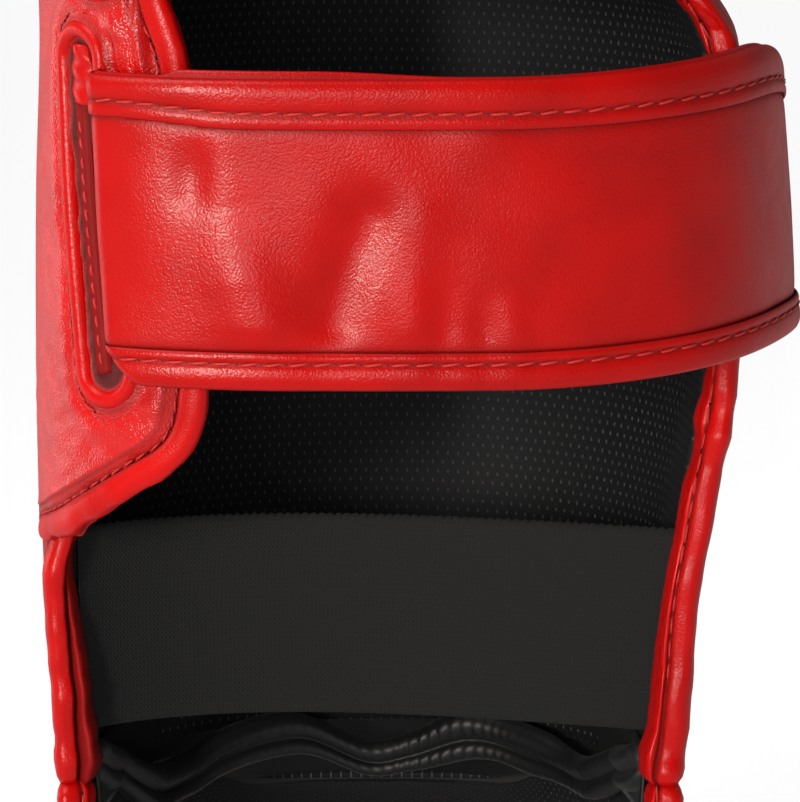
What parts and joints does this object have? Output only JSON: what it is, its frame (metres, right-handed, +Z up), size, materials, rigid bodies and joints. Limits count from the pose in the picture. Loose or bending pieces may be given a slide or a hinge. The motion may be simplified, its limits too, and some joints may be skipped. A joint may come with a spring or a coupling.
{
  "type": "shin and instep guard",
  "caption": "Padded shin and instep guard in red imitation leather, open at the calf, closed by a soft wing, wide calf straps and an ankle elastic.",
  "frame": {"origin": "on the floor, under the middle of the guard's box as it stands on the rim of its instep", "axes": "+Z up the shin towards the knee, +Y from the calf towards the toes, +X to the right as seen from behind"},
  "size_m": [0.1466, 0.2316, 0.3814],
  "materials": {
    "red_leather": "fine-grained imitation leather, soft gloss",
    "red_binding": "folded imitation leather binding, soft gloss",
    "dotted_lining": "black knit embossed with staggered dots",
    "ribbed_elastic": "matt ribbed elastic webbing",
    "ankle_fabric": "gathered black fabric",
    "loop_pile": "matt loop pile"
  },
  "bodies": {
    "root": {"shin_pad": "red_leather", "shin_lining": "dotted_lining", "shin_binding_right": "red_binding", "shin_binding_left": "red_binding", "wing": "red_leather", "wing_binding": "red_binding", "lower_anchor": "red_binding", "lower_strap": "red_leather", "lower_strap_bottom_edge": "red_leather", "lower_strap_top_edge": "red_leather", "lower_patch": "loop_pile", "upper_anchor": "red_binding", "upper_strap": "red_leather", "upper_strap_bottom_edge": "red_leather", "upper_strap_top_edge": "red_leather", "upper_patch": "loop_pile", "elastic_band": "ribbed_elastic", "ankle_roll": "ankle_fabric", "ankle_gusset": "red_leather", "instep_pad": "red_leather", "instep_lining": "dotted_lining", "instep_binding": "red_binding"}
  },
  "joints": []
}
